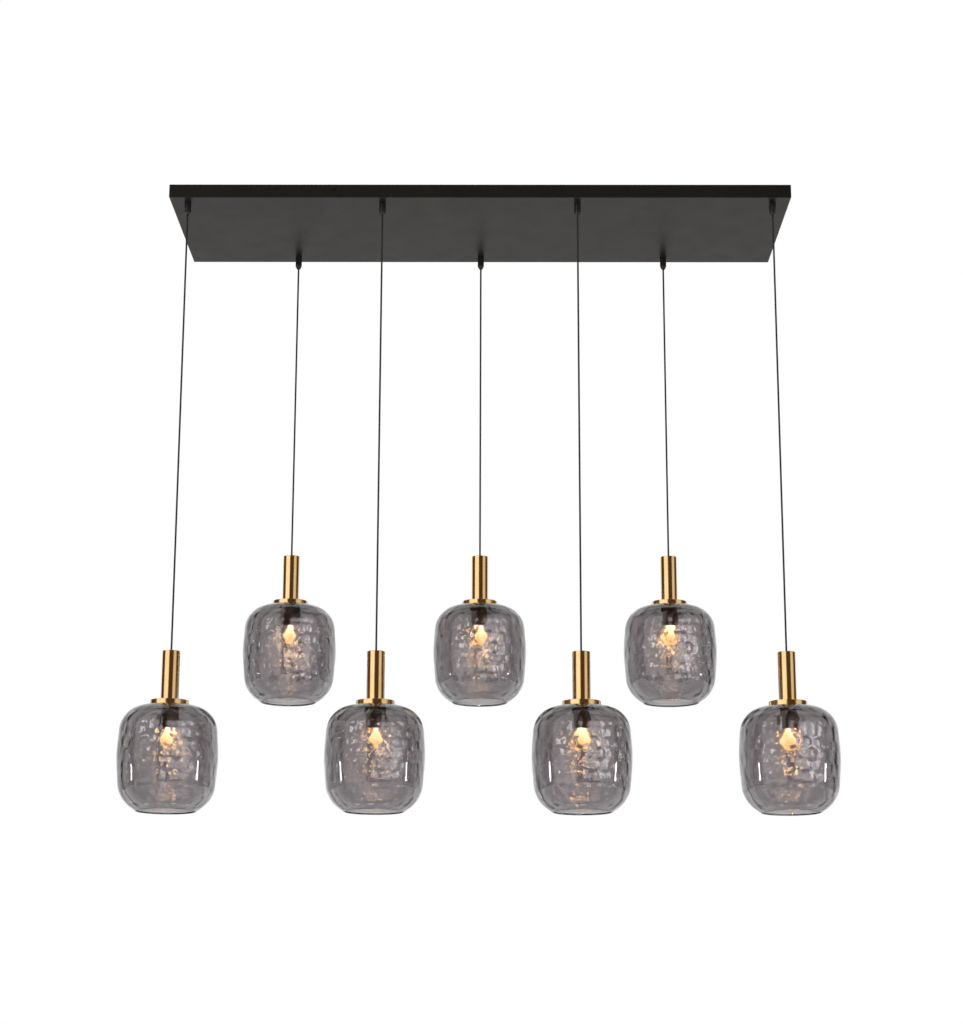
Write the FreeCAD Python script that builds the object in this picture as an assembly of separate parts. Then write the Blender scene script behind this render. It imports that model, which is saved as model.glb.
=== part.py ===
"""Linear cluster pendant: seven hammered glass shades on cords under one long ceiling canopy.

Millimetres, +Z up. The origin is the centre of the canopy's top, in the ceiling's plane, and the
front is -Y. Lamps 1, 3, 5 and 7 hang low in the front row, and lamps 2, 4 and 6 high in the back
row. Each lamp is drawn once, as a stack of turned pieces about its own axis with its height
measured from the top of the glass, and then moved to its place.
"""
import FreeCAD, Part

import math
import os

from FreeCAD import Vector

# ---- Canopy: a folded steel pan, open to the ceiling -------------------------------------------
canopy_length = 1200.0
canopy_depth = 360.0
canopy_height = 26.0
canopy_sheet = 1.2
canopy_bend_radius = 2.0

# ---- Where the lamps hang ------------------------------------------------------------------------
lamp_count = 7
end_inset = 33.0              # from an end of the canopy to its outermost cord grip
row_inset = 30.0              # from the canopy's front or back to a row of cord grips
low_drop = 856.0              # from a cord grip's mouth to the top of a low lamp
high_drop = 611.0             # the same for a high lamp

# ---- Cord and cord grip ----------------------------------------------------------------------------
cord_diameter = 3.5
cord_clearance = 0.3          # between the cord and whatever it passes through
swing_allowance = 14.5        # degrees that the cord may lean in its grip, both swings together
grip_diameter = 13.0
grip_edge = 0.4
grip_length = 26.0            # below the canopy
grip_nose_length = 6.0
grip_nose_round = 2.0
grip_mouth_rim = 0.9          # wall left round the mouth
grip_groove_depth = 0.5
grip_groove_width = 0.8
nipple_diameter = 9.8         # the grip's threaded end, through the canopy
nipple_length = 9.0
nipple_edge = 0.5
cord_end_length = 5.0         # of the held cord above its nipple
nut_across_flats = 14.0
nut_height = 3.0
pivot_above_mouth = 3.0       # where the cord bends, inside the grip's nose
bush_radius = 3.6             # the soft bush that the cord bends in
bush_half_height = 1.8
bush_clearance = 0.3
fit_clearance = 0.1           # round a threaded end, radially

# ---- Mounting brackets and side screws ------------------------------------------------------------
bracket_spacing = 566.0
bracket_width = 25.0
bracket_sheet = 2.0
bracket_bend_radius = 1.0     # inside the bend
bracket_flange = 18.0
bracket_gap = 0.3             # between a bracket's flange and the canopy's wall
ceiling_hole_spacing = 200.0
ceiling_hole_diameter = 5.5
side_screw_depth = 10.0       # below the ceiling
side_screw_diameter = 4.0
side_screw_length = 8.0
screw_head_diameter = 7.0
screw_head_height = 2.2
screw_head_round = 1.3
screw_point = 0.4             # bevel at the end of the shank
screw_slot_width = 1.0

# ---- Terminal block ----------------------------------------------------------------------------------
terminal_length = 132.0
terminal_width = 20.0
terminal_height = 14.0
terminal_ways = 7
terminal_groove_width = 2.0
terminal_groove_depth = 5.0
terminal_screw_diameter = 4.0
terminal_screw_height = 1.6

# ---- Socket cover and gallery (brass) --------------------------------------------------------------
cover_diameter = 33.0
cover_length = 92.0
cover_wall = 1.5
cover_top = 3.6
cover_edge = 0.6
cover_foot_edge = 0.2
gallery_diameter = 71.0
gallery_height = 10.0
gallery_wall = 1.8
gallery_hub_diameter = 42.0
gallery_edge = 0.6
gallery_groove_round = 0.5

# ---- Glass shade -------------------------------------------------------------------------------------
shade_wall = 3.0
shade_hole_diameter = 28.6
shade_depth = 193.5           # from the flat top to the corner of the mouth
shade_shoulder = 86.0         # radius at which the top would meet the side
shade_belly = 92.8            # radius at which the two halves of the side would meet
shade_belly_depth = 91.5      # their depth below the top of the glass
shade_hip = 86.3              # radius at which the side would meet the bottom
shade_mouth_radius = 53.0     # of the rim, before its rounding
shade_bottom_slope = 35.4     # degrees
shoulder_radius = 48.0
belly_radius = 256.0
hip_radius = 57.6
lip_round = 1.2

# ---- Lamp holder -------------------------------------------------------------------------------------
holder_sleeve_diameter = 27.0
holder_sleeve_height = 62.0   # above the glass
holder_shoulder = 8.0
holder_round = 2.0
skirt_diameter = 34.0
skirt_length = 29.0
skirt_cone_length = 8.0
skirt_wall = 1.6
skirt_round = 3.0
skirt_edge = 0.5
tube_edge = 0.4
tube_diameter = 9.8           # the threaded tube that ties the holder to its cover
tube_engagement = 2.4
cap_clearance = 0.3

# ---- Bulb --------------------------------------------------------------------------------------------
cap_diameter = 13.8
cap_length = 17.0
contact_diameter = 5.0
contact_height = 1.5
contact_skirt = 1.0           # how far the contact's foot spreads round it
cap_edge = 0.8
cap_depth = 6.0               # top of the cap below the top of the glass
bulb_diameter = 34.0
bulb_bottom = 77.0            # below the top of the glass
bulb_neck_diameter = 22.0
bulb_shoulder_round = 3.0
bulb_gap = 1.0                # between the bulb's neck and the holder's mouth

# ---- Derived -----------------------------------------------------------------------------------------
canopy_bottom = -canopy_height
canopy_floor = canopy_bottom + canopy_sheet
grip_mouth = canopy_bottom - grip_length
pivot_height = grip_mouth + pivot_above_mouth
nipple_top = canopy_bottom + nipple_length
cord_radius = cord_diameter / 2
cord_bore = cord_radius + cord_clearance
lamp_height_above_glass = gallery_height + cover_length
middle_lamp = (lamp_count + 1) / 2
lamp_step = (canopy_length - 2 * end_inset) / (lamp_count - 1)
row_offset = canopy_depth / 2 - row_inset
LAMPS = {
    number: {
        "x": (number - middle_lamp) * lamp_step,
        "y": -row_offset if number % 2 else row_offset,
        "top": grip_mouth - (low_drop if number % 2 else high_drop),
    }
    for number in range(1, lamp_count + 1)
}


def cylinder(radius, bottom, top, x=0.0, y=0.0):
    return Part.makeCylinder(radius, top - bottom, Vector(x, y, bottom))


def box(x_range, y_range, z_range):
    size = [high - low for low, high in (x_range, y_range, z_range)]
    return Part.makeBox(*size, Vector(x_range[0], y_range[0], z_range[0]))


def corner_reaches(corners, closed):
    """How far each rounding runs along its sides, cut back where two would meet on one side."""
    count = len(corners)
    reaches = []
    for index, (point, radius) in enumerate(corners):
        if radius <= 0 or (not closed and index in (0, count - 1)):
            reaches.append(0.0)
            continue
        back = corners[index - 1][0] - point
        ahead = corners[(index + 1) % count][0] - point
        reaches.append(radius / math.tan(back.getAngle(ahead) / 2))
    shares = [1.0] * count
    for index in range(count if closed else count - 1):
        following = (index + 1) % count
        side = (corners[following][0] - corners[index][0]).Length
        wanted = reaches[index] + reaches[following]
        share = side / wanted if wanted > side else 1.0
        shares[index] = min(shares[index], share)
        shares[following] = min(shares[following], share)
    return [reach * share for reach, share in zip(reaches, shares)]


def rounded_edges(corners, closed):
    """Edges through corners (point, radius), each corner rounded by an arc."""
    count = len(corners)
    starts, ends, arcs = [], [], []
    for index, reach in enumerate(corner_reaches(corners, closed)):
        point = corners[index][0]
        if reach == 0:
            starts.append(point)
            ends.append(point)
            arcs.append(None)
            continue
        back = (corners[index - 1][0] - point).normalize()
        ahead = (corners[(index + 1) % count][0] - point).normalize()
        half = back.getAngle(ahead) / 2
        depth = reach / math.cos(half) * (1 - math.sin(half))
        middle = (back + ahead).normalize() * depth
        starts.append(point + back * reach)
        ends.append(point + ahead * reach)
        arcs.append(Part.Arc(starts[-1], point + middle, ends[-1]).toShape())
    edges = []
    for index in range(count):
        if arcs[index]:
            edges.append(arcs[index])
        if closed or index < count - 1:
            following = starts[(index + 1) % count]
            if (following - ends[index]).Length > 1e-6:
                edges.append(Part.makeLine(ends[index], following))
    return edges


def turned(profile):
    """The solid of revolution of a closed profile of (radius, height) or (radius, height, rounding)."""
    corners = [(Vector(p[0], 0, p[1]), p[2] if len(p) > 2 else 0.0) for p in profile]
    face = Part.Face(Part.Wire(rounded_edges(corners, closed=True)))
    return face.revolve(Vector(0, 0, 0), Vector(0, 0, 1), 360)


def parallel(profile, distance):
    """An open profile moved sideways by distance, its roundings changed to stay parallel."""
    points = [Vector(p[0], 0, p[1]) for p in profile]
    sides = []
    for here, there in zip(points, points[1:]):
        along = (there - here).normalize()
        sides.append(Vector(-along.z, 0, along.x))
    moved = []
    for index, point in enumerate(points):
        before = sides[max(index - 1, 0)]
        after = sides[min(index, len(sides) - 1)]
        shift = (before + after) * (distance / (1 + before.dot(after)))
        radius = profile[index][2]
        turn = before.cross(after).y
        change = distance * math.copysign(1, turn)
        moved.append((point.x + shift.x, point.z + shift.z, radius + change if radius else 0.0))
    return moved


# ---- Ceiling canopy ------------------------------------------------------------------------------------
def side_screw_places():
    """(x, side) of the four side screws, side -1 at the front and 1 at the back."""
    return [(x, side) for x in (-bracket_spacing / 2, bracket_spacing / 2) for side in (-1, 1)]


def canopy_pan():
    half_length, half_depth = canopy_length / 2, canopy_depth / 2
    outside = box((-half_length, half_length), (-half_depth, half_depth), (canopy_bottom, 0))
    low_edges = [e for e in outside.Edges if e.BoundBox.ZMax < canopy_bottom + 1e-6]
    upright_edges = [e for e in outside.Edges if e.BoundBox.ZLength > canopy_height / 2]
    outside = outside.makeFillet(canopy_bend_radius, low_edges + upright_edges)
    inner_length, inner_depth = half_length - canopy_sheet, half_depth - canopy_sheet
    inside = box((-inner_length, inner_length), (-inner_depth, inner_depth),
                 (canopy_floor, canopy_height))
    inner_radius = canopy_bend_radius - canopy_sheet
    low_edges = [e for e in inside.Edges if e.BoundBox.ZMax < canopy_floor + 1e-6]
    upright_edges = [e for e in inside.Edges if e.BoundBox.ZLength > canopy_height / 2]
    inside = inside.makeFillet(inner_radius, low_edges + upright_edges)
    pan = outside.cut(inside)
    grip_hole = nipple_diameter / 2 + fit_clearance
    for lamp in LAMPS.values():
        pan = pan.cut(cylinder(grip_hole, canopy_bottom, canopy_floor, lamp["x"], lamp["y"]))
    for x, side in side_screw_places():
        start = Vector(x, side * (half_depth - canopy_sheet), -side_screw_depth)
        pan = pan.cut(Part.makeCylinder(side_screw_diameter / 2 + fit_clearance, canopy_sheet,
                                        start, Vector(0, side, 0)))
    return pan


def mounting_bracket(x):
    """A strip across the canopy, with a flange bent down at each end for the side screws."""
    reach = canopy_depth / 2 - canopy_sheet - bracket_gap
    low, inner = -bracket_flange, reach - bracket_sheet
    bend, inner_bend = bracket_bend_radius + bracket_sheet, bracket_bend_radius
    profile = [((reach, low), 0), ((reach, 0), bend), ((-reach, 0), bend), ((-reach, low), 0),
               ((-inner, low), 0), ((-inner, -bracket_sheet), inner_bend),
               ((inner, -bracket_sheet), inner_bend), ((inner, low), 0)]
    left = x - bracket_width / 2
    corners = [(Vector(left, y, z), radius) for (y, z), radius in profile]
    strip = Part.Face(Part.Wire(rounded_edges(corners, closed=True)))
    bracket = strip.extrude(Vector(bracket_width, 0, 0))
    for y in (-ceiling_hole_spacing / 2, ceiling_hole_spacing / 2):
        bracket = bracket.cut(cylinder(ceiling_hole_diameter / 2, -bracket_sheet, 0, x, y))
    for side in (-1, 1):
        start = Vector(x, side * inner, -side_screw_depth)
        bracket = bracket.cut(Part.makeCylinder(side_screw_diameter / 2 + fit_clearance,
                                                bracket_sheet, start, Vector(0, side, 0)))
    return bracket


def side_screw(x, side):
    """A pan-head screw with its head on the canopy's wall and its shank through the bracket."""
    head = screw_head_diameter / 2
    shank = side_screw_diameter / 2
    screw = turned([(0, -side_screw_length), (shank - screw_point, -side_screw_length),
                    (shank, screw_point - side_screw_length), (shank, 0), (head, 0),
                    (head, screw_head_height, screw_head_round), (0, screw_head_height)])
    slot = box((-head, head), (-screw_slot_width / 2, screw_slot_width / 2),
               (screw_head_height / 2, screw_head_height))
    screw = screw.cut(slot)
    screw.rotate(Vector(0, 0, 0), Vector(1, 0, 0), -90 * side)
    return screw.translated(Vector(x, side * canopy_depth / 2, -side_screw_depth))


# ---- Cord grips and what passes through them -------------------------------------------------------------
def lean_at(depth):
    """Radius that the leaning cord sweeps at a depth below its pivot."""
    lean = math.radians(swing_allowance)
    return cord_bore / math.cos(lean) + depth * math.tan(lean)


def cord_grip(lamp):
    """A turned grip: a nipple through the canopy, a body, and a nose with a seat for the bush."""
    outer, nipple = grip_diameter / 2, nipple_diameter / 2
    mouth = lean_at(pivot_above_mouth)
    nose_top = grip_mouth + grip_nose_length
    groove, groove_low = outer - grip_groove_depth, nose_top + grip_groove_width
    groove_high = groove_low + grip_groove_width
    body = turned([
        (cord_bore, nipple_top), (nipple, nipple_top, nipple_edge),
        (nipple, canopy_bottom), (outer, canopy_bottom, grip_edge),
        (outer, groove_high), (groove, groove_high), (groove, groove_low), (outer, groove_low),
        (outer, nose_top, grip_nose_round), (mouth + grip_mouth_rim, grip_mouth, grip_edge),
        (cord_bore, grip_mouth)])
    seat = Part.makeSphere(bush_radius + bush_clearance, Vector(0, 0, pivot_height))
    flare = Part.makeCone(lean_at(0), mouth, pivot_above_mouth, Vector(0, 0, pivot_height),
                          Vector(0, 0, -1))
    grip = body.cut(seat).cut(flare)
    return grip.translated(Vector(lamp["x"], lamp["y"], 0))


def grip_locknut(lamp):
    """A hexagon nut on the grip's nipple, on the canopy's floor."""
    corner = nut_across_flats / math.sqrt(3)
    turns = [math.radians(60 * corner_number) for corner_number in range(7)]
    points = [Vector(corner * math.cos(turn), corner * math.sin(turn), canopy_floor) for turn in turns]
    nut = Part.Face(Part.makePolygon(points)).extrude(Vector(0, 0, nut_height))
    nut = nut.cut(cylinder(nipple_diameter / 2 + fit_clearance, canopy_floor, canopy_floor + nut_height))
    return nut.translated(Vector(lamp["x"], lamp["y"], 0))


def grip_bush(lamp):
    """The soft bush round the cord in the grip's nose: a ball zone with a flared bore."""
    half = bush_half_height
    ball = Part.makeSphere(bush_radius, Vector(0, 0, pivot_height))
    zone = ball.common(cylinder(bush_radius, pivot_height - half, pivot_height + half))
    wide = lean_at(half)
    narrow = lean_at(0)
    bore = turned([(0, pivot_height + half), (narrow, pivot_height + half), (narrow, pivot_height),
                   (wide, pivot_height - half), (0, pivot_height - half)])
    return zone.cut(bore).translated(Vector(lamp["x"], lamp["y"], 0))


def cord_end(lamp):
    """The held end of the cord, from the bush up through the nipple into the canopy."""
    low = pivot_height + cord_radius + cord_clearance
    return cylinder(cord_radius, low, nipple_top + cord_end_length, lamp["x"], lamp["y"])


def cord(lamp):
    """The hanging cord, straight under its load, from its pivot in the grip to the lamp holder."""
    bottom = lamp["top"] - lamp_height_above_glass + holder_sleeve_height + cord_clearance
    straight = cylinder(cord_radius, bottom, pivot_height)
    rounded_top = Part.makeSphere(cord_radius, Vector(0, 0, pivot_height))
    whole = straight.fuse(rounded_top).removeSplitter()
    return whole.translated(Vector(lamp["x"], lamp["y"], 0))


# ---- Terminal block -----------------------------------------------------------------------------------
def terminal_way_places():
    pitch = (terminal_length - terminal_groove_width) / terminal_ways
    return [(way - (terminal_ways - 1) / 2) * pitch for way in range(terminal_ways)]


def terminal_block():
    """A strip of ways on the canopy's floor, with a groove between neighbours."""
    half = terminal_length / 2
    top = canopy_floor + terminal_height
    block = box((-half, half), (-terminal_width / 2, terminal_width / 2), (canopy_floor, top))
    places = terminal_way_places()
    for left, right in zip(places, places[1:]):
        middle = (left + right) / 2
        groove = (middle - terminal_groove_width / 2, middle + terminal_groove_width / 2)
        block = block.cut(box(groove, (-terminal_width, terminal_width), (top - terminal_groove_depth, top)))
    return block


def terminal_screw(x, y):
    """A cheese-head clamping screw on top of the block."""
    top = canopy_floor + terminal_height
    head = cylinder(terminal_screw_diameter / 2, top, top + terminal_screw_height, x, y)
    slot = box((x - terminal_screw_diameter, x + terminal_screw_diameter),
               (y - screw_slot_width / 2, y + screw_slot_width / 2),
               (top + terminal_screw_height / 2, top + terminal_screw_height))
    return head.cut(slot)


# ---- One lamp, heights from the top of the glass ---------------------------------------------------------
def socket_cover():
    """The brass tube over the lamp holder, closed at the top round the threaded tube and cord."""
    outer, inner = cover_diameter / 2, cover_diameter / 2 - cover_wall
    low, high = gallery_height, gallery_height + cover_length
    seat = tube_diameter / 2 + fit_clearance
    return turned([
        (inner, low), (outer, low, cover_foot_edge), (outer, high, cover_edge), (cord_bore, high),
        (cord_bore, high - cover_top + tube_engagement), (seat, high - cover_top + tube_engagement),
        (seat, high - cover_top), (inner, high - cover_top)])


def gallery():
    """The brass disc on the glass, hollow underneath between its hub and its rim."""
    outer, rim = gallery_diameter / 2, gallery_diameter / 2 - gallery_wall
    hub, bore = gallery_hub_diameter / 2, holder_sleeve_diameter / 2 + fit_clearance
    ceiling = gallery_height - gallery_wall
    return turned([
        (bore, 0), (hub, 0), (hub, ceiling, gallery_groove_round), (rim, ceiling, gallery_groove_round),
        (rim, 0), (outer, 0), (outer, gallery_height, gallery_edge), (bore, gallery_height)])


def shade_profile():
    """The outside of the glass, from its hole to its mouth, as corners with their roundings."""
    slope = math.tan(math.radians(shade_bottom_slope))
    hip_depth = shade_depth - slope * (shade_hip - shade_mouth_radius)
    return [
        (shade_hole_diameter / 2, 0, 0), (shade_shoulder, 0, shoulder_radius),
        (shade_belly, -shade_belly_depth, belly_radius), (shade_hip, -hip_depth, hip_radius),
        (shade_mouth_radius, -shade_depth, 0)]


def shade():
    """Blown glass of even wall: a flat top with a hole, a full belly, and an open mouth."""
    outside = shade_profile()
    inside = parallel(outside, -shade_wall)
    slope = math.tan(math.radians(shade_bottom_slope))
    outer_lip = (shade_mouth_radius, -shade_depth, lip_round)
    inner_lip = (shade_mouth_radius, inside[-1][1] + slope * (shade_mouth_radius - inside[-1][0]),
                 lip_round)
    inner_hole = (shade_hole_diameter / 2, -shade_wall)
    return turned(outside[:-1] + [outer_lip, inner_lip] + inside[-2:0:-1] + [inner_hole])


def lamp_holder():
    """The moulded holder: a skirt that clamps the glass from below and a sleeve through it."""
    sleeve, skirt = holder_sleeve_diameter / 2, skirt_diameter / 2
    glass_under = -shade_wall
    skirt_low = glass_under - skirt_length
    mouth = skirt_low - skirt_cone_length
    mouth_outer = bulb_neck_diameter / 2 + bulb_gap + skirt_wall
    cap_bore = cap_diameter / 2 + cap_clearance
    cap_top = -cap_depth + contact_height + cap_clearance
    cap_low = -cap_depth - cap_length
    tube, bore = tube_diameter / 2, cord_bore
    tube_top = lamp_height_above_glass - cover_top + tube_engagement - cap_clearance
    body = turned([
        (0, holder_sleeve_height), (sleeve - holder_shoulder / 2, holder_sleeve_height, holder_round),
        (sleeve, holder_sleeve_height - holder_shoulder, holder_round), (sleeve, glass_under),
        (skirt, glass_under, skirt_edge), (skirt, skirt_low, skirt_round),
        (mouth_outer, mouth, skirt_edge), (mouth_outer - skirt_wall, mouth, skirt_edge),
        (cap_bore, cap_low), (cap_bore, cap_top), (0, cap_top)])
    threaded_tube = turned([
        (bore, holder_sleeve_height), (tube, holder_sleeve_height), (tube, tube_top, tube_edge),
        (bore, tube_top)])
    return Part.makeCompound([body, threaded_tube])


def bulb():
    """A small screw-cap bulb: contact, cap, flared neck and round globe."""
    globe = bulb_diameter / 2
    centre = -bulb_bottom + globe
    cap, neck = cap_diameter / 2, bulb_neck_diameter / 2
    cap_top, cap_low = -cap_depth, -cap_depth - cap_length
    mouth = -shade_wall - skirt_length - skirt_cone_length
    contact = contact_diameter / 2
    stem = turned([
        (0, cap_top + contact_height), (contact, cap_top + contact_height),
        (contact + contact_skirt, cap_top), (cap, cap_top, cap_edge), (cap, cap_low),
        (neck, mouth + bulb_gap, bulb_shoulder_round), (neck, centre), (0, centre)])
    return stem.fuse(Part.makeSphere(globe, Vector(0, 0, centre))).removeSplitter()


def export(name, shapes):
    os.makedirs("parts", exist_ok=True)
    shape = shapes[0] if len(shapes) == 1 else Part.makeCompound(shapes)
    shape.exportStep(f"parts/{name}.step")
    print(f"{name}: {len(shape.Solids)} solids, {shape.Volume / 1000:.2f} cm3, valid {shape.isValid()}")


def main():
    export("canopy_pan", [canopy_pan()])
    export("mounting_brackets", [mounting_bracket(x) for x in (-bracket_spacing / 2, bracket_spacing / 2)])
    export("canopy_screws", [side_screw(x, side) for x, side in side_screw_places()])
    export("cord_grips", [cord_grip(lamp) for lamp in LAMPS.values()])
    export("grip_locknuts", [grip_locknut(lamp) for lamp in LAMPS.values()])
    export("cord_ends", [cord_end(lamp) for lamp in LAMPS.values()])
    export("terminal_block", [terminal_block()])
    export("terminal_screws", [terminal_screw(x, y) for x in terminal_way_places()
                               for y in (-terminal_width / 4, terminal_width / 4)])
    pieces = {"socket_cover": socket_cover(), "gallery": gallery(), "shade": shade(),
              "lamp_holder": lamp_holder(), "bulb": bulb()}
    for number, lamp in LAMPS.items():
        export(f"grip_bush_{number}", [grip_bush(lamp)])
        export(f"cord_{number}", [cord(lamp)])
        glass_top = lamp["top"] - lamp_height_above_glass
        for name, piece in pieces.items():
            export(f"{name}_{number}", [piece.translated(Vector(lamp["x"], lamp["y"], glass_top))])


main()
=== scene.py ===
import math
import random

import bpy
from mathutils import Matrix, Vector
from mathutils.kdtree import KDTree


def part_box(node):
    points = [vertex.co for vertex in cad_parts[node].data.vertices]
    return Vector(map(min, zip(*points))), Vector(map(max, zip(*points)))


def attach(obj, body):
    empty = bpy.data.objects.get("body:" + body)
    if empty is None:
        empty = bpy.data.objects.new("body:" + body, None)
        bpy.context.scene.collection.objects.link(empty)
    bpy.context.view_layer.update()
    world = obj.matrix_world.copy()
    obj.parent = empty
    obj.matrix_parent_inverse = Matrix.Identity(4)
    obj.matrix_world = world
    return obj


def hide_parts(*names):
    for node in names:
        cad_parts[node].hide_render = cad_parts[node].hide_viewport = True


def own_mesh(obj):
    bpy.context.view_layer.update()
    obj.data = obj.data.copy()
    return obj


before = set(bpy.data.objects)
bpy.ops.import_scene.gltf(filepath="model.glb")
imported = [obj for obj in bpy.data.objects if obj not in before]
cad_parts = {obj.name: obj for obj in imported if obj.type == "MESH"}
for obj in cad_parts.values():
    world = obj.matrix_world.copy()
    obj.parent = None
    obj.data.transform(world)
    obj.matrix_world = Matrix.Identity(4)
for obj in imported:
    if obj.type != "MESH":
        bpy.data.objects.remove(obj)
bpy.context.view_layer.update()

LAMPS = range(1, 8)

# ---- Camera, fitted to the photograph ----------------------------------------------------------------
IMAGE_HEIGHT = 1024
FOCAL_PIXELS = 2146.8
SENSOR = 0.036
CAMERA_PLACE = Vector((0.0275, -4.0571, -1.5913))
CAMERA_PITCH = math.radians(13.645)
CAMERA_YAW = math.radians(0.336)
CAMERA_ROLL = math.radians(0.157)

# ---- Sizes shared with the solids, and the steps of the meshes ---------------------------------------
CORD_DIAMETER = 0.0035
CORD_TIP_RADIUS = 0.0004      # where the foot of a cord closes
CORD_RINGS = 90
CORD_SIDES = 16
CORD_DOME_STEPS = 5           # of the round top, in the grip
PIVOT_HEIGHT = -0.049         # where a cord bends, inside its grip
LOW_CORD_BOTTOM = -0.9477     # against the lamp holder
HIGH_CORD_BOTTOM = -0.7027
LIP_ROUND = 0.0012
SHADE_CORNERS = [             # (radius, height from the flat top, rounding) down the outside
    (0.0143, 0.0, 0.0), (0.086, 0.0, 0.048), (0.0928, -0.0915, 0.256),
    (0.0863, -0.16983, 0.0576), (0.053, -0.1935, 0.0)]
SHADE_INSIDE = [
    (0.0143, -0.003, 0.0), (0.08321, -0.003, 0.045), (0.08979, -0.09149, 0.253),
    (0.08343, -0.1682, 0.0546), (0.053, -0.18982, 0.0)]
BULB_RADIUS = 0.017
BULB_DROP = 0.077             # from the top of the glass to the bottom of the bulb
BULB_NECK = 0.011
BULB_NECK_TOP = 0.0395
BULB_CAP_RADIUS = 0.0069
BULB_CAP_TOP = 0.006
BULB_CAP_LENGTH = 0.017
BULB_CAP_TIP = 0.0025         # radius of the contact on the cap
BULB_THREAD_DEPTH = 0.0004
BULB_THREADS = 5
BULB_JOINT = 0.004            # how far the neck reaches up into the cap
CORE_WIDTH = 0.80             # of the glowing core, as shares of the globe and of its neck
CORE_NECK = 0.62
GLOBE_STEPS = 24
CAP_STEPS = 40

# ---- Hammered relief of the glass --------------------------------------------------------------------
DIMPLE_PITCH = 0.024
DIMPLE_RADIUS = 0.0145        # wider than the scoops themselves, which cut each other off
DIMPLE_DEPTH = 0.0014         # into the inside of the glass; the outside is smooth
DIMPLE_JITTER = 0.16
DIMPLE_ROWS = 0.87            # height of a row of dimples, as a share of their pitch
DIMPLE_SEED = 7
RELIEF_START = 0.040          # radius outside the flat seat of the brass disc
RELIEF_FADE = 0.008
RELIEF_ROWS = 5               # rows of points over which the relief dies out at the lip
SHADE_SEGMENTS = 224
SHADE_STEP = 0.0024
ARC_STEP = 0.001              # along the roundings of the outline, and along the lip's
LIP_STEP = 0.0005

# ---- Smoked glass ------------------------------------------------------------------------------------
TINT_LOW = (0.352, 0.328, 0.341)
TINT_HIGH = (0.405, 0.381, 0.394)
# Painted sheen: the pale colour the glass is given where it is seen edge on, standing in for reflected light
PAINTED_EDGE_SHEEN = (0.76, 0.76, 0.745, 1.0)
FILM_INDEX = 2.0              # of the film on the inside, which mirrors more than bare glass
FILM_SCALE = 210.0            # of its fine waves, and their height
FILM_DEPTH = 0.0012
PIT_SCALE = 85.0              # pits to the metre, before they are gathered into clusters
PIT_INNER = 0.10              # radii of a pit's floor and of its rim, as shares of their spacing
PIT_OUTER = 0.30
PIT_DEPTH = 0.0004
PIT_CLUSTERS = (0.47, 0.60)   # levels of the broad noise between which the pits come in
RIPPLE_SCALE = 150.0
RIPPLE_DEPTH = 0.0001

# ---- Bulb light --------------------------------------------------------------------------------------
CORE_SEEN = 6.5               # strength seen through the glass, and what is added as light and in glints
CORE_LIGHT = 20.0
CORE_GLINT = 480.0

# ---- Studio ------------------------------------------------------------------------------------------
# Levels by direction: around, from 0 behind the object by the left (0.25) and the front (0.5) to 1,
# and up, from 0 straight down to 1 straight up.
WORLD_LIGHT = 0.4
WALL = (1.0, 1.0, 1.0)
SCREEN = (0.085, 0.048, 0.022)
LAMP_LEFT = (1.35, 1.26, 1.12)
LAMP_RIGHT = (0.88, 0.81, 0.70)
GLOSS_AROUND = [(0.0, WALL), (0.13, WALL), (0.16, SCREEN), (0.29, SCREEN), (0.31, LAMP_LEFT),
                (0.45, LAMP_LEFT), (0.465, SCREEN), (0.605, SCREEN), (0.625, LAMP_RIGHT),
                (0.70, LAMP_RIGHT), (0.74, SCREEN), (0.84, SCREEN), (0.87, WALL)]
THROUGH_AROUND = [(0.0, 1.0), (0.09, 1.0), (0.11, 0.08), (0.205, 0.08), (0.225, 1.0), (0.30, 1.0),
                  (0.32, 0.10), (0.49, 0.12), (0.52, 3.4), (0.66, 3.4), (0.68, 0.3), (0.70, 1.0),
                  (0.775, 1.0), (0.795, 0.08), (0.89, 0.08), (0.91, 1.0)]
THROUGH_UP = [(0.0, 0.30), (0.18, 0.4), (0.26, 1.0), (0.69, 1.0), (0.76, 0.14), (1.0, 0.05)]
FLOOR_HALF = 6.0
FLOOR_LEVEL = -2.5
FLOOR_COLOUR = (0.86, 0.86, 0.86, 1)
FLOOR_GLOW = 0.7              # share of plain white in the floor that the eye sees
LIGHT_AIM = Vector((0, 0, -0.8))
PLAIN = (1.0, 1.0, 1.0)
WARM = (1.0, 0.90, 0.80)
LIGHTS = [                    # name, place, size, power, colour, seen in gloss
    ("key", (-3.2, -3.0, 0.6), (1.4, 1.4), 40.0, PLAIN, False),
    ("fill", (3.4, -2.4, -0.4), (1.4, 1.4), 26.0, PLAIN, False),
    ("strip_left", (-5.9, -1.04, -1.22), (0.34, 0.30), 11.0, PLAIN, True),
    ("strip_right", (5.9, -1.04, -1.22), (0.34, 0.30), 11.0, PLAIN, True),
    ("under", (0.0, -0.6, -2.4), (2.4, 1.6), 14.0, WARM, False)]


def lamp_axis(number):
    low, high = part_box(f"cord_{number}")
    return (low[0] + high[0]) / 2, (low[1] + high[1]) / 2


def glass_top(number):
    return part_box(f"shade_{number}")[1][2]


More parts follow.
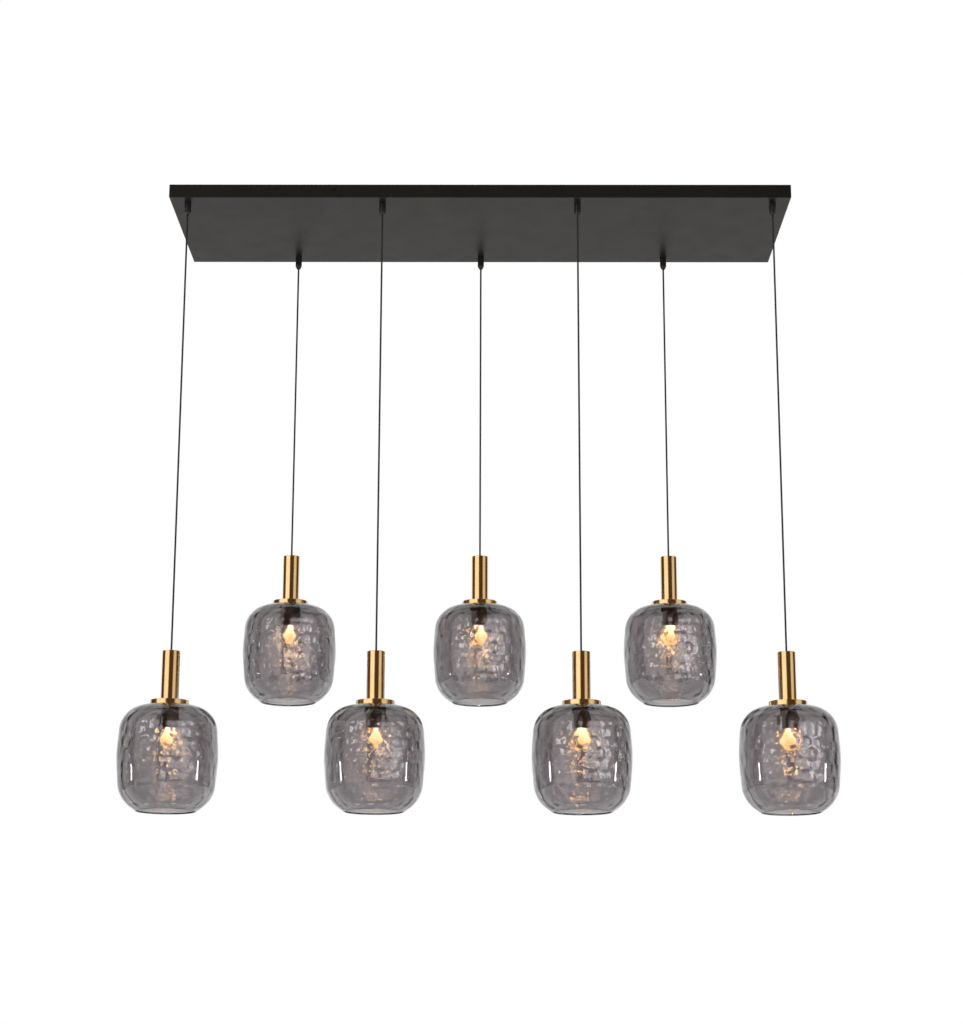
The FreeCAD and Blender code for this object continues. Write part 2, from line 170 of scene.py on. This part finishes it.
# ---- Node materials ----------------------------------------------------------------------------------
class Surface:
    """A node material with a principled shader, and short calls for the nodes that drive it."""

    def __init__(self, name, **sockets):
        self.material = bpy.data.materials.new(name)
        self.material.use_nodes = True
        self.tree = self.material.node_tree
        self.shader = self.tree.nodes["Principled BSDF"]
        for socket, value in sockets.items():
            self.shader.inputs[socket.replace("_", " ")].default_value = value
        self.coordinates = self.add("ShaderNodeTexCoord").outputs["Object"]

    def add(self, kind, settings=None, **sockets):
        node = self.tree.nodes.new(kind)
        for name, value in (settings or {}).items():
            setattr(node, name, value)
        for socket, value in sockets.items():
            self.feed(node.inputs[socket.replace("_", " ")], value)
        return node

    def feed(self, socket, value):
        if isinstance(value, bpy.types.NodeSocket):
            self.tree.links.new(value, socket)
        else:
            socket.default_value = value

    def stretched(self, x, y, z):
        node = self.add("ShaderNodeMapping", Vector=self.coordinates)
        node.inputs["Scale"].default_value = (x, y, z)
        return node.outputs["Vector"]

    def noise(self, scale, detail=3.0, vector=None, roughness=0.5):
        node = self.add("ShaderNodeTexNoise", Vector=vector or self.coordinates,
                        Scale=scale, Detail=detail, Roughness=roughness)
        return node.outputs["Fac"]

    def ramp(self, fac, stops):
        node = self.add("ShaderNodeValToRGB", Fac=fac)
        elements = node.color_ramp.elements
        while len(elements) < len(stops):
            elements.new(0.5)
        for element, (place, colour) in zip(elements, stops):
            element.position = place
            element.color = (*colour, 1.0)
        return node.outputs["Color"]

    def span(self, fac, low, high):
        node = self.add("ShaderNodeMapRange", Value=fac)
        node.inputs["To Min"].default_value = low
        node.inputs["To Max"].default_value = high
        return node.outputs["Result"]

    def bump(self, height, distance, strength=1.0, under=None):
        node = self.add("ShaderNodeBump", Height=height, Distance=distance, Strength=strength)
        if under:
            self.tree.links.new(under, node.inputs["Normal"])
        return node.outputs["Normal"]

    def drive(self, **sockets):
        for socket, value in sockets.items():
            self.feed(self.shader.inputs[socket.replace("_", " ")], value)
        return self.material


def powder_coat():
    """Satin black powder coat: fine orange peel, and a slightly uneven sheen."""
    surface = Surface("powder_coat_black", Specular_IOR_Level=0.12, Specular_Tint=(1.0, 0.85, 0.76, 1.0))
    cloud = surface.noise(6.0, 4.0)
    return surface.drive(
        Base_Color=surface.ramp(cloud, [(0.3, (0.013, 0.012, 0.011)), (0.7, (0.017, 0.0155, 0.014))]),
        Roughness=surface.span(surface.noise(22.0, 5.0), 0.34, 0.46),
        Normal=surface.bump(surface.noise(1500.0, 2.0), 0.00004, 0.5))


def black_moulding(name, low, high, tint):
    surface = Surface(name, Specular_IOR_Level=0.45)
    shade = surface.noise(60.0, 4.0)
    dark = tuple(part * 0.75 for part in tint)
    return surface.drive(
        Base_Color=surface.ramp(shade, [(0.3, dark), (0.7, tint)]),
        Roughness=surface.span(surface.noise(140.0, 4.0), low, high),
        Normal=surface.bump(surface.noise(900.0, 3.0), 0.00005, 0.4))


def cord_cover():
    """A smooth black jacket with the faint twist of the cores beneath it."""
    surface = Surface("cord_black", Specular_IOR_Level=0.4)
    twist = surface.add("ShaderNodeTexWave", {"wave_type": "BANDS", "bands_direction": "DIAGONAL"},
                        Vector=surface.coordinates, Scale=90.0, Distortion=1.5)
    fibre = surface.noise(2200.0, 2.0)
    normal = surface.bump(twist.outputs["Fac"], 0.00004, 0.3)
    return surface.drive(
        Base_Color=surface.ramp(fibre, [(0.35, (0.012, 0.012, 0.012)), (0.7, (0.026, 0.025, 0.024))]),
        Roughness=surface.span(fibre, 0.45, 0.65),
        Normal=surface.bump(fibre, 0.00005, 0.5, normal))


def brushed_brass():
    """Polished brass with a fine grain along the tube and slightly cloudy lacquer."""
    surface = Surface("brass_polished", Metallic=1.0)
    cloud = surface.noise(26.0, 4.0)
    grain = surface.noise(1.0, 3.0, surface.stretched(1400.0, 1400.0, 3.0), 0.6)
    return surface.drive(
        Base_Color=surface.ramp(cloud, [(0.25, (0.77, 0.54, 0.28)), (0.55, (0.82, 0.60, 0.33)),
                                        (0.8, (0.86, 0.65, 0.39))]),
        Roughness=surface.span(grain, 0.10, 0.20),
        Normal=surface.bump(grain, 0.00001, 0.2))


def tint_with_painted_edge_sheen(surface):
    """Grey with a breath of violet, and painted lighter where the glass is seen edge on: a painted sheen in
    place of the room reflected at grazing angles.
    """
    cloud = surface.noise(9.0, 3.0)
    facing = surface.add("ShaderNodeLayerWeight", Blend=0.5).outputs["Facing"]
    smoke = surface.ramp(cloud, [(0.3, TINT_LOW), (0.7, TINT_HIGH)])
    # Painted sheen: the share of the pale edge colour grows as the glass turns edge on to the eye
    painted_sheen_share = surface.ramp(facing, [(0.30, (0.0, 0.0, 0.0)), (0.50, (1.0, 1.0, 1.0))])
    mixed = surface.add("ShaderNodeMix", {"data_type": "RGBA"}, Factor=painted_sheen_share)
    surface.feed(mixed.inputs["A"], smoke)
    surface.feed(mixed.inputs["B"], PAINTED_EDGE_SHEEN)
    return mixed.outputs["Result"]


def smooth_smoked_glass():
    """The fire-polished outside of the glass."""
    surface = Surface("glass_smoked_outside", Roughness=0.0, IOR=1.5, Transmission_Weight=1.0)
    return surface.drive(Base_Color=tint_with_painted_edge_sheen(surface),
                         Normal=surface.bump(surface.noise(45.0, 2.0), 0.0003))


def seeded_smoked_glass():
    """The inside: a ripple, clusters of small pits, and a film whose waves catch the light of the bulb."""
    surface = Surface("glass_smoked_inside", Roughness=0.0, IOR=1.5, Transmission_Weight=1.0,
                      Coat_Weight=1.0, Coat_IOR=FILM_INDEX, Coat_Roughness=0.0)
    cells = surface.add("ShaderNodeTexVoronoi", Vector=surface.coordinates, Scale=PIT_SCALE)
    pits = surface.add("ShaderNodeMapRange", {"interpolation_type": "SMOOTHSTEP"},
                       Value=cells.outputs["Distance"])
    pits.inputs["From Min"].default_value = PIT_INNER
    pits.inputs["From Max"].default_value = PIT_OUTER
    clusters = surface.add("ShaderNodeMapRange", Value=surface.noise(28.0, 1.0))
    clusters.inputs["From Min"].default_value, clusters.inputs["From Max"].default_value = PIT_CLUSTERS
    height = surface.add("ShaderNodeMath", {"operation": "MULTIPLY"})
    surface.feed(height.inputs[0], pits.outputs["Result"])
    surface.feed(height.inputs[1], clusters.outputs["Result"])
    ripple = surface.bump(surface.noise(RIPPLE_SCALE, 2.0), RIPPLE_DEPTH)
    waves = surface.add("ShaderNodeMath", {"operation": "MULTIPLY"})
    surface.feed(waves.inputs[0], surface.noise(FILM_SCALE, 2.0))
    surface.feed(waves.inputs[1], clusters.outputs["Result"])
    return surface.drive(Base_Color=tint_with_painted_edge_sheen(surface),
                         Normal=surface.bump(height.outputs[0], PIT_DEPTH, 1.0, ripple),
                         Coat_Normal=surface.bump(waves.outputs[0], FILM_DEPTH))


def zinc():
    surface = Surface("zinc_plated", Metallic=1.0)
    spangle = surface.noise(120.0, 5.0)
    return surface.drive(
        Base_Color=surface.ramp(spangle, [(0.3, (0.50, 0.50, 0.48)), (0.7, (0.66, 0.66, 0.63))]),
        Roughness=surface.span(spangle, 0.28, 0.45),
        Normal=surface.bump(surface.noise(600.0, 3.0), 0.00004, 0.4))


def terminal_plastic():
    surface = Surface("terminal_plastic")
    speck = surface.noise(80.0, 4.0)
    return surface.drive(
        Base_Color=surface.ramp(speck, [(0.3, (0.70, 0.68, 0.62)), (0.7, (0.80, 0.78, 0.72))]),
        Roughness=surface.span(speck, 0.4, 0.55),
        Normal=surface.bump(surface.noise(700.0, 2.0), 0.00004, 0.4))


def bulb_envelope():
    """The bulb's outer glass, lit through: amber, and thin enough to see the core."""
    surface = Surface("bulb_envelope", Roughness=0.1, Alpha=0.5, Emission_Strength=0.55,
                      Specular_IOR_Level=0.0)
    haze = surface.noise(220.0, 3.0)
    return surface.drive(
        Base_Color=surface.ramp(haze, [(0.3, (0.20, 0.12, 0.05)), (0.7, (0.24, 0.155, 0.07))]),
        Emission_Color=surface.ramp(haze, [(0.3, (1.0, 0.60, 0.28)), (0.7, (1.0, 0.80, 0.56))]))


def bulb_core():
    """The glowing middle of the bulb: white hot under the holder, and golden lower down."""
    surface = Surface("bulb_core", Base_Color=(1.0, 0.8, 0.5, 1.0))
    path = surface.add("ShaderNodeLightPath")
    mirrored = surface.add("ShaderNodeMath", {"operation": "SUBTRACT", "use_clamp": True})
    surface.feed(mirrored.inputs[0], path.outputs["Is Glossy Ray"])
    surface.feed(mirrored.inputs[1], path.outputs["Is Transmission Ray"])
    strength = CORE_SEEN
    for ray, added in ((path.outputs["Is Diffuse Ray"], CORE_LIGHT), (mirrored.outputs[0], CORE_GLINT)):
        stronger = surface.add("ShaderNodeMath", {"operation": "MULTIPLY_ADD"})
        surface.feed(stronger.inputs[0], ray)
        surface.feed(stronger.inputs[1], added)
        surface.feed(stronger.inputs[2], strength)
        strength = stronger.outputs[0]
    split = surface.add("ShaderNodeSeparateXYZ")
    place = surface.add("ShaderNodeTexCoord").outputs["Generated"]
    surface.feed(split.inputs[0], place)
    swirl = surface.noise(160.0, 3.0)
    mixed = surface.add("ShaderNodeMath", {"operation": "MULTIPLY_ADD"})
    surface.feed(mixed.inputs[0], swirl)
    mixed.inputs[1].default_value = 0.35
    surface.feed(mixed.inputs[2], split.outputs["Z"])
    return surface.drive(
        Emission_Strength=strength,
        Emission_Color=surface.ramp(mixed.outputs[0], [
            (0.2, (0.60, 0.37, 0.13)), (0.5, (0.86, 0.57, 0.24)), (0.8, (1.0, 0.74, 0.40)),
            (1.0, (1.0, 0.92, 0.72))]))


# ---- Mesh code ---------------------------------------------------------------------------------------
def rounded(corners, step):
    """Points along an outline of (radius, height, rounding), with each rounding as an arc."""
    points = []
    last = len(corners) - 1
    for index, (x, z, radius) in enumerate(corners):
        here = Vector((x, z))
        if index in (0, last) or radius == 0:
            points.append(here)
            continue
        back = (Vector(corners[index - 1][:2]) - here).normalized()
        ahead = (Vector(corners[index + 1][:2]) - here).normalized()
        half = back.angle(ahead) / 2
        centre = here + (back + ahead).normalized() * (radius / math.sin(half))
        start = here + back * (radius / math.tan(half)) - centre
        turn = math.pi - 2 * half
        side = math.copysign(1, back.y * ahead.x - back.x * ahead.y)
        steps = max(2, round(radius * turn / step))
        for count in range(steps + 1):
            angle = side * turn * count / steps
            spin = Matrix.Rotation(angle, 2)
            points.append(centre + spin @ start)
    return points


def evened(points, step):
    """The same line with points at an even step along it."""
    lengths = [(b - a).length for a, b in zip(points, points[1:])]
    total = sum(lengths)
    count = max(2, round(total / step))
    result, index, passed = [points[0]], 0, 0.0
    for number in range(1, count):
        wanted = total * number / count
        while passed + lengths[index] < wanted:
            passed += lengths[index]
            index += 1
        result.append(points[index].lerp(points[index + 1], (wanted - passed) / lengths[index]))
    result.append(points[-1])
    return result


def new_piece(name, vertices, faces, material, body, stands_for=()):
    mesh = bpy.data.meshes.new(name)
    mesh.from_pydata([tuple(v) for v in vertices], [], faces)
    mesh.polygons.foreach_set("use_smooth", [True] * len(mesh.polygons))
    mesh.update()
    piece = bpy.data.objects.new(name, mesh)
    bpy.context.scene.collection.objects.link(piece)
    mesh.materials.append(material)
    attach(piece, body)
    if stands_for:
        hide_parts(*stands_for)
    return piece


def lathe(profile, segments, centre):
    """(vertices, faces) of (radius, height) points, from the bottom up, turned about the axis."""
    vertices, faces = [], []
    for radius, height in profile:
        for k in range(segments):
            angle = 2 * math.pi * k / segments
            vertices.append((centre[0] + radius * math.cos(angle), centre[1] + radius * math.sin(angle),
                             centre[2] + height))
    for row in range(len(profile) - 1):
        for k in range(segments):
            ahead = (k + 1) % segments
            faces.append((row * segments + k, row * segments + ahead,
                          (row + 1) * segments + ahead, (row + 1) * segments + k))
    return vertices, faces


# ---- Camera ------------------------------------------------------------------------------------------
def add_camera():
    data = bpy.data.cameras.new("camera")
    data.sensor_width = SENSOR * 1000
    data.lens = FOCAL_PIXELS / IMAGE_HEIGHT * data.sensor_width
    data.clip_end = 50.0
    camera = bpy.data.objects.new("camera", data)
    turn = (Matrix.Rotation(CAMERA_YAW, 4, "Z") @ Matrix.Rotation(math.pi / 2 + CAMERA_PITCH, 4, "X")
            @ Matrix.Rotation(CAMERA_ROLL, 4, "Z"))
    camera.matrix_world = Matrix.Translation(CAMERA_PLACE) @ turn
    bpy.context.scene.collection.objects.link(camera)
    bpy.context.scene.camera = camera


# ---- Cords -------------------------------------------------------------------------------------------
def add_cord(number, material):
    """A straight tube from the bend in the grip to the lamp holder."""
    x, y = lamp_axis(number)
    bottom = LOW_CORD_BOTTOM if number % 2 else HIGH_CORD_BOTTOM
    length = PIVOT_HEIGHT - bottom
    radius = CORD_DIAMETER / 2
    profile = [(CORD_TIP_RADIUS, bottom)]
    profile += [(radius, bottom + length * k / CORD_RINGS) for k in range(CORD_RINGS + 1)]
    for k in range(1, CORD_DOME_STEPS):
        angle = math.pi / 2 * k / CORD_DOME_STEPS
        profile.append((radius * math.cos(angle), PIVOT_HEIGHT + radius * math.sin(angle)))
    vertices, faces = lathe(profile, CORD_SIDES, (x, y, 0.0))
    cord = new_piece(f"cord_{number}_jacket", vertices, faces, material,
                     f"drop_{number}", [f"cord_{number}"])
    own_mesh(cord)


# ---- Glass shades ------------------------------------------------------------------------------------
def dimple_centres(line):
    """Middles of the hammered dimples: staggered rings down the glass, each a little out of place."""
    shuffle = random.Random(DIMPLE_SEED)
    centres = KDTree(4000)
    number = 0
    ring = 0
    for point in evened(line, DIMPLE_PITCH * DIMPLE_ROWS):
        around = max(3, round(2 * math.pi * point.x / DIMPLE_PITCH))
        for k in range(around):
            angle = 2 * math.pi * (k + (ring % 2) / 2 + shuffle.uniform(-1, 1) * DIMPLE_JITTER) / around
            lift = shuffle.uniform(-1, 1) * DIMPLE_JITTER * DIMPLE_PITCH
            centres.insert((point.x * math.cos(angle), point.x * math.sin(angle), point.y + lift), number)
            number += 1
        ring += 1
    centres.balance()
    return centres


def relief(centres, place, radius):
    """How far the glass is pressed in at a place: round scoops that meet in ridges."""
    near = centres.find(place)[2]
    hollow = max(0.0, 1 - (near / DIMPLE_RADIUS) ** 2)
    fade = min(1.0, max(0.0, (radius - RELIEF_START) / RELIEF_FADE))
    return DIMPLE_DEPTH * hollow * fade


def shade_profile():
    """The outline down the outside of the glass, round its lip and up its inside, with relief shares."""
    outside = evened(rounded(SHADE_CORNERS, ARC_STEP), SHADE_STEP)[:-1]
    inside = evened(rounded(SHADE_INSIDE, ARC_STEP), SHADE_STEP)[:-1]
    (x, low, _), (_, high, _) = SHADE_CORNERS[-1], SHADE_INSIDE[-1]
    lip = rounded([(*outside[-1], 0.0), (x, low, LIP_ROUND), (x, high, LIP_ROUND), (*inside[-1], 0.0)],
                  LIP_STEP)[1:-1]
    shares = [0.0] * (len(outside) + len(lip))
    shares += [min(1.0, index / RELIEF_ROWS) for index in range(len(inside))]
    return outside + lip + inside[::-1], shares


def shade_mesh():
    """One shade about its own axis, with the height measured from its flat top."""
    profile, shares = shade_profile()
    centres = dimple_centres(rounded(SHADE_INSIDE, ARC_STEP))
    vertices, faces = [], []
    for index, (point, share) in enumerate(zip(profile, shares)):
        before = profile[max(index - 1, 0)]
        after = profile[min(index + 1, len(profile) - 1)]
        along = (after - before).normalized()
        normal = Vector((along.y, -along.x))
        for k in range(SHADE_SEGMENTS):
            angle = 2 * math.pi * k / SHADE_SEGMENTS
            place = (point.x * math.cos(angle), point.x * math.sin(angle), point.y)
            depth = relief(centres, place, point.x) * share if share else 0.0
            radius, height = point + normal * depth
            vertices.append((radius * math.cos(angle), radius * math.sin(angle), height))
    rows = len(profile)
    for row in range(rows):
        following = (row + 1) % rows
        for k in range(SHADE_SEGMENTS):
            ahead = (k + 1) % SHADE_SEGMENTS
            faces.append((row * SHADE_SEGMENTS + k, following * SHADE_SEGMENTS + k,
                          following * SHADE_SEGMENTS + ahead, row * SHADE_SEGMENTS + ahead))
    sides = [1 if share else 0 for share in shares for _ in range(SHADE_SEGMENTS)]
    return vertices, faces, sides


def add_shade(number, form, outer, inner):
    x, y = lamp_axis(number)
    top = glass_top(number)
    vertices = [Vector(place) + Vector((x, y, top)) for place in form[0]]
    shade = new_piece(f"shade_{number}_glass", vertices, form[1], outer,
                      f"lamp_{number}", [f"shade_{number}"])
    shade.data.materials.append(inner)
    shade.data.polygons.foreach_set("material_index", form[2])


# ---- Bulbs -------------------------------------------------------------------------------------------
def globe_profile(radius, neck):
    """Round the globe and up the neck, from the bottom."""
    centre = -BULB_DROP + BULB_RADIUS
    joint = math.asin(neck / radius)
    profile = [(neck * 0.9, -BULB_NECK_TOP + BULB_JOINT), (neck, -BULB_NECK_TOP - BULB_JOINT / 2)]
    for k in range(GLOBE_STEPS + 1):
        angle = joint + (math.pi - joint) * k / GLOBE_STEPS
        profile.append((max(radius * math.sin(angle), 0.0001), centre + radius * math.cos(angle)))
    return profile[::-1]


def add_bulb(number, envelope, core, metal):
    x, y = lamp_axis(number)
    top = glass_top(number)
    body = f"screw_bulb_{number}"
    globe = globe_profile(BULB_RADIUS, BULB_NECK)
    vertices, faces = lathe(globe, 48, (x, y, top))
    new_piece(f"bulb_{number}_envelope", vertices, faces, envelope, body, [f"bulb_{number}"])
    inner = globe_profile(BULB_RADIUS * CORE_WIDTH, BULB_NECK * CORE_NECK)
    vertices, faces = lathe(inner, 40, (x, y, top))
    new_piece(f"bulb_{number}_core", vertices, faces, core, body)
    cap = [(BULB_CAP_TIP, -BULB_CAP_TOP + 0.0015), (BULB_CAP_RADIUS - 0.001, -BULB_CAP_TOP)]
    for k in range(CAP_STEPS + 1):
        wave = math.cos(2 * math.pi * BULB_THREADS * k / CAP_STEPS)
        thread = BULB_THREAD_DEPTH * (wave - 1) / 2
        cap.append((BULB_CAP_RADIUS + thread, -BULB_CAP_TOP - BULB_CAP_LENGTH * k / CAP_STEPS))
    cap.append((BULB_NECK * 0.9, -BULB_NECK_TOP + BULB_JOINT))
    vertices, faces = lathe(cap[::-1], 32, (x, y, top))
    new_piece(f"bulb_{number}_cap", vertices, faces, metal, body)


# ---- Room --------------------------------------------------------------------------------------------
def background_rays(tree):
    """1 for rays that see the background itself, and 0 for rays that light a surface."""
    path = tree.nodes.new("ShaderNodeLightPath")
    total = path.outputs["Is Camera Ray"]
    for name in ("Is Glossy Ray", "Is Transmission Ray"):
        add = tree.nodes.new("ShaderNodeMath")
        add.operation = "MAXIMUM"
        tree.links.new(total, add.inputs[0])
        tree.links.new(path.outputs[name], add.inputs[1])
        total = add.outputs[0]
    return total


def direction_ramp(tree, fac, stops):
    """A ramp over directions, of plain levels or of colours."""
    ramp = tree.nodes.new("ShaderNodeValToRGB")
    tree.links.new(fac, ramp.inputs["Fac"])
    elements = ramp.color_ramp.elements
    while len(elements) < len(stops):
        elements.new(0.5)
    for element, (place, level) in zip(elements, stops):
        element.position = place
        element.color = (*level, 1) if isinstance(level, tuple) else (level, level, level, 1)
    return ramp.outputs["Color"]


def add_world():
    """A white room for the eye, a studio of pale and dark screens for gloss, and a plain level of light."""
    world = bpy.data.worlds.new("studio")
    bpy.context.scene.world = world
    world.use_nodes = True
    tree = world.node_tree
    nodes, links = tree.nodes, tree.links
    nodes.clear()
    path = nodes.new("ShaderNodeLightPath")
    direction = nodes.new("ShaderNodeTexCoord").outputs["Generated"]
    turn = nodes.new("ShaderNodeMapping")
    turn.inputs["Rotation"].default_value = (0, 0, math.radians(90))
    links.new(direction, turn.inputs["Vector"])
    radial = nodes.new("ShaderNodeTexGradient")
    radial.gradient_type = "RADIAL"
    links.new(turn.outputs["Vector"], radial.inputs["Vector"])
    split = nodes.new("ShaderNodeSeparateXYZ")
    links.new(direction, split.inputs[0])
    height = nodes.new("ShaderNodeMapRange")
    height.inputs["From Min"].default_value = -1
    links.new(split.outputs["Z"], height.inputs["Value"])
    around, up = radial.outputs["Fac"], height.outputs["Result"]
    through = nodes.new("ShaderNodeMix")
    through.data_type = "RGBA"
    through.blend_type = "MULTIPLY"
    through.inputs["Factor"].default_value = 1.0
    links.new(direction_ramp(tree, around, THROUGH_AROUND), through.inputs["A"])
    links.new(direction_ramp(tree, up, THROUGH_UP), through.inputs["B"])
    colours = {
        "Is Glossy Ray": direction_ramp(tree, around, GLOSS_AROUND),
        "Is Transmission Ray": through.outputs["Result"], "Is Camera Ray": None}
    light = nodes.new("ShaderNodeBackground")
    light.inputs["Color"].default_value = (1, 1, 1, 1)
    light.inputs["Strength"].default_value = WORLD_LIGHT
    shader = light.outputs[0]
    for ray, colour in colours.items():
        seen = nodes.new("ShaderNodeBackground")
        seen.inputs["Color"].default_value = (1, 1, 1, 1)
        if colour:
            links.new(colour, seen.inputs["Color"])
        mix = nodes.new("ShaderNodeMixShader")
        links.new(path.outputs[ray], mix.inputs[0])
        links.new(shader, mix.inputs[1])
        links.new(seen.outputs[0], mix.inputs[2])
        shader = mix.outputs[0]
    output = nodes.new("ShaderNodeOutputWorld")
    links.new(shader, output.inputs["Surface"])


def add_area_light(name, place, size, power, colour, mirrored):
    data = bpy.data.lights.new(name, "AREA")
    data.shape = "RECTANGLE"
    data.size, data.size_y = size
    data.energy = power
    data.color = colour
    lamp = bpy.data.objects.new(name, data)
    lamp.location = place
    lamp.visible_glossy = mirrored
    aim = LIGHT_AIM - Vector(place)
    lamp.rotation_euler = aim.to_track_quat("-Z", "Y").to_euler()
    bpy.context.scene.collection.objects.link(lamp)


def add_floor():
    material = bpy.data.materials.new("floor_pale")
    material.use_nodes = True
    tree = material.node_tree
    shader = tree.nodes["Principled BSDF"]
    shader.inputs["Base Color"].default_value = FLOOR_COLOUR
    shader.inputs["Roughness"].default_value = 0.9
    white = tree.nodes.new("ShaderNodeEmission")
    white.inputs["Strength"].default_value = 1.0
    share = tree.nodes.new("ShaderNodeMath")
    share.operation = "MULTIPLY"
    share.inputs[1].default_value = FLOOR_GLOW
    tree.links.new(background_rays(tree), share.inputs[0])
    mix = tree.nodes.new("ShaderNodeMixShader")
    tree.links.new(share.outputs[0], mix.inputs[0])
    tree.links.new(shader.outputs[0], mix.inputs[1])
    tree.links.new(white.outputs[0], mix.inputs[2])
    tree.links.new(mix.outputs[0], tree.nodes["Material Output"].inputs["Surface"])
    corners = [(x * FLOOR_HALF, y * FLOOR_HALF, FLOOR_LEVEL) for x, y in ((-1, -1), (1, -1), (1, 1), (-1, 1))]
    mesh = bpy.data.meshes.new("floor")
    mesh.from_pydata(corners, [], [(0, 1, 2, 3)])
    mesh.materials.append(material)
    floor = bpy.data.objects.new("floor", mesh)
    bpy.context.scene.collection.objects.link(floor)


def finish_nodes(finishes):
    """Gives each solid that stays in view its own finish."""
    for node, material in finishes.items():
        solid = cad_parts[node]
        solid.data.materials.clear()
        solid.data.materials.append(material)


# ---- Build -------------------------------------------------------------------------------------------
add_camera()
jacket = cord_cover()
for number in LAMPS:
    add_cord(number, jacket)

coat, brass, steel = powder_coat(), brushed_brass(), zinc()
grip_plastic = black_moulding("grip_plastic", 0.30, 0.42, (0.016, 0.015, 0.015))
holder_plastic = black_moulding("holder_bakelite", 0.20, 0.30, (0.16, 0.085, 0.04))
rubber = black_moulding("bush_rubber", 0.6, 0.75, (0.02, 0.02, 0.02))
finishes = {
    "canopy_pan": coat, "canopy_screws": coat, "mounting_brackets": steel, "grip_locknuts": steel,
    "terminal_screws": steel, "terminal_block": terminal_plastic(), "cord_grips": grip_plastic,
    "cord_ends": jacket}
for number in LAMPS:
    finishes[f"grip_bush_{number}"] = rubber
    finishes[f"socket_cover_{number}"] = brass
    finishes[f"gallery_{number}"] = brass
    finishes[f"lamp_holder_{number}"] = holder_plastic
finish_nodes(finishes)

smooth_glass, seeded_glass = smooth_smoked_glass(), seeded_smoked_glass()
form = shade_mesh()
envelope, core = bulb_envelope(), bulb_core()
for number in LAMPS:
    add_shade(number, form, smooth_glass, seeded_glass)
    add_bulb(number, envelope, core, steel)

add_world()
add_floor()
for light in LIGHTS:
    add_area_light(*light)
bpy.context.scene.view_settings.view_transform = "Standard"
